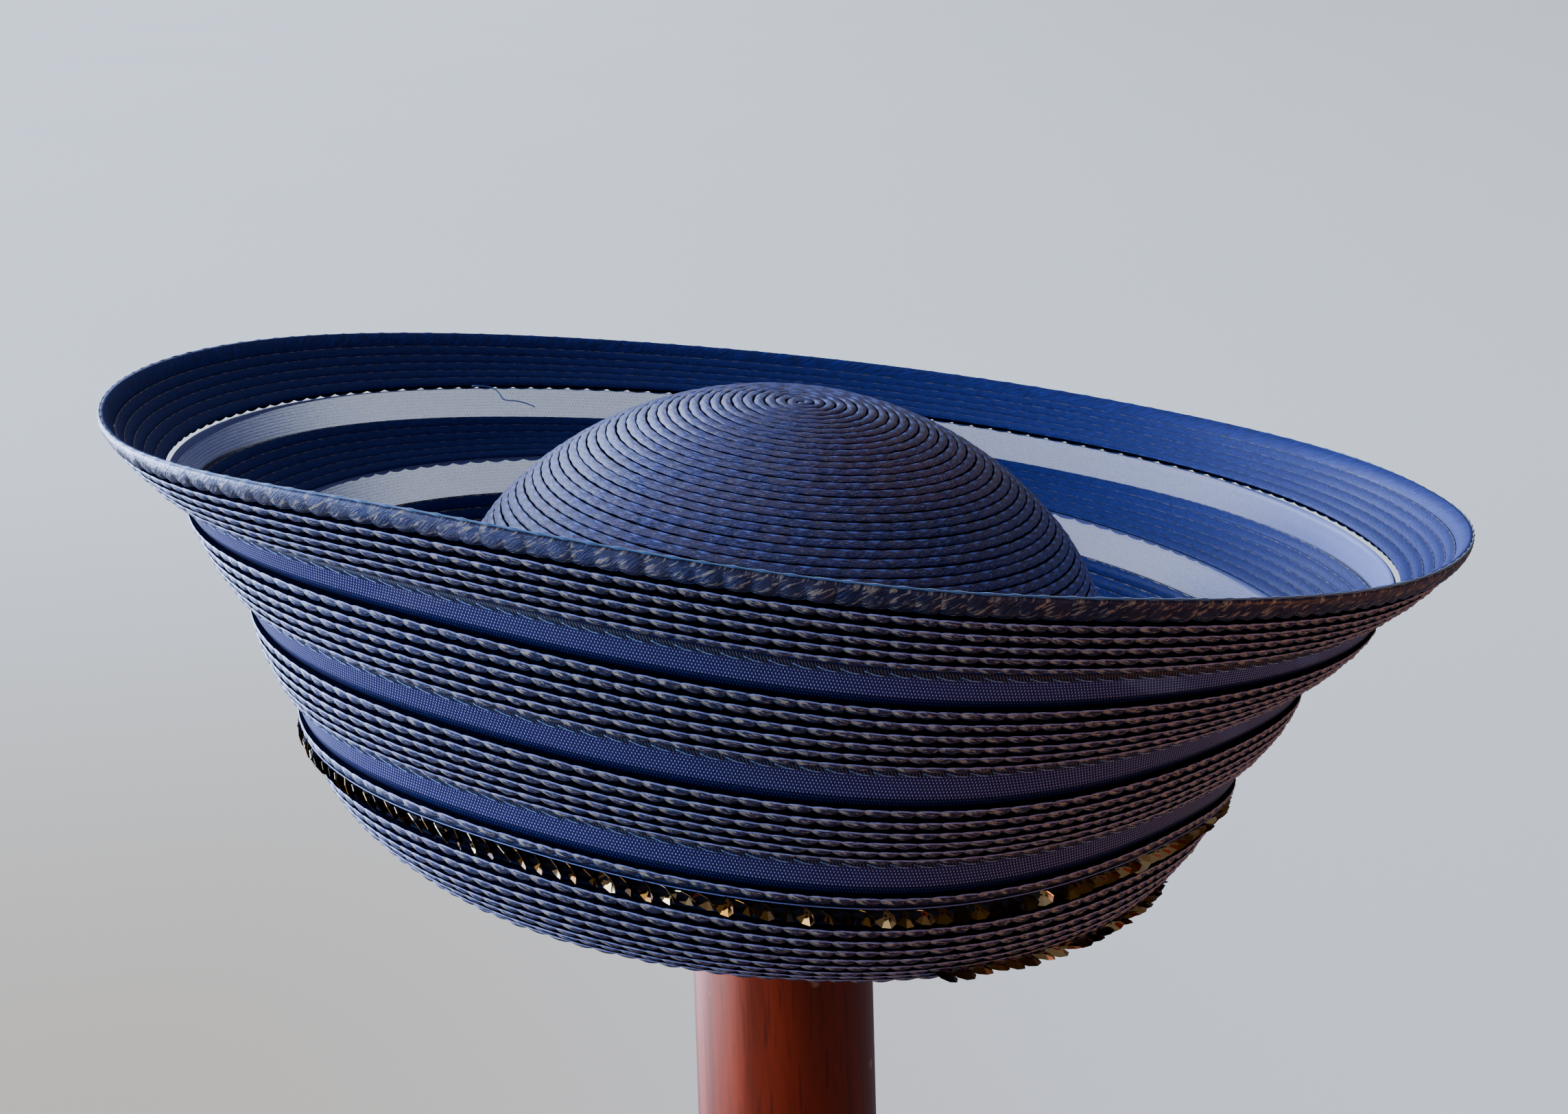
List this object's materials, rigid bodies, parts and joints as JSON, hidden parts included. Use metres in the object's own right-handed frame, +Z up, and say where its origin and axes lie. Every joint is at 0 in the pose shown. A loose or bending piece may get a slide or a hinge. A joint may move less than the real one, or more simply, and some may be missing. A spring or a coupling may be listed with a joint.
{
  "type": "breton hat on a hat stand",
  "caption": "Breton hat with a domed crown and a deep turned-up brim of braid and sheer bands, trimmed with sequins, on a turned wooden hat stand.",
  "frame": {"origin": "middle of the stand's base, on the surface it stands on", "axes": "+Z up along the stand's post, +X to the right and -Y towards the viewer of the picture; the hat leans towards both"},
  "size_m": [0.3768, 0.3677, 0.3502],
  "materials": {
    "braid": "navy sewn braid with a soft sheen",
    "sheer": "navy sheer woven band",
    "sequins": "dark bronze faceted sequins",
    "wood": "polished dark mahogany"
  },
  "bodies": {
    "root": {"crown_tip": "braid", "crown_side": "braid", "brim_band_base": "braid", "brim_row": "braid", "brim_band_lower": "braid", "brim_band_middle": "braid", "brim_band_outer": "braid", "sheer_band_lower": "sheer", "sheer_band_middle": "sheer", "sheer_band_upper": "sheer", "sequin_band": "sequins", "sequin_tail": "sequins", "stand_head": "wood", "stand_post": "wood", "stand_base": "wood"}
  },
  "joints": []
}
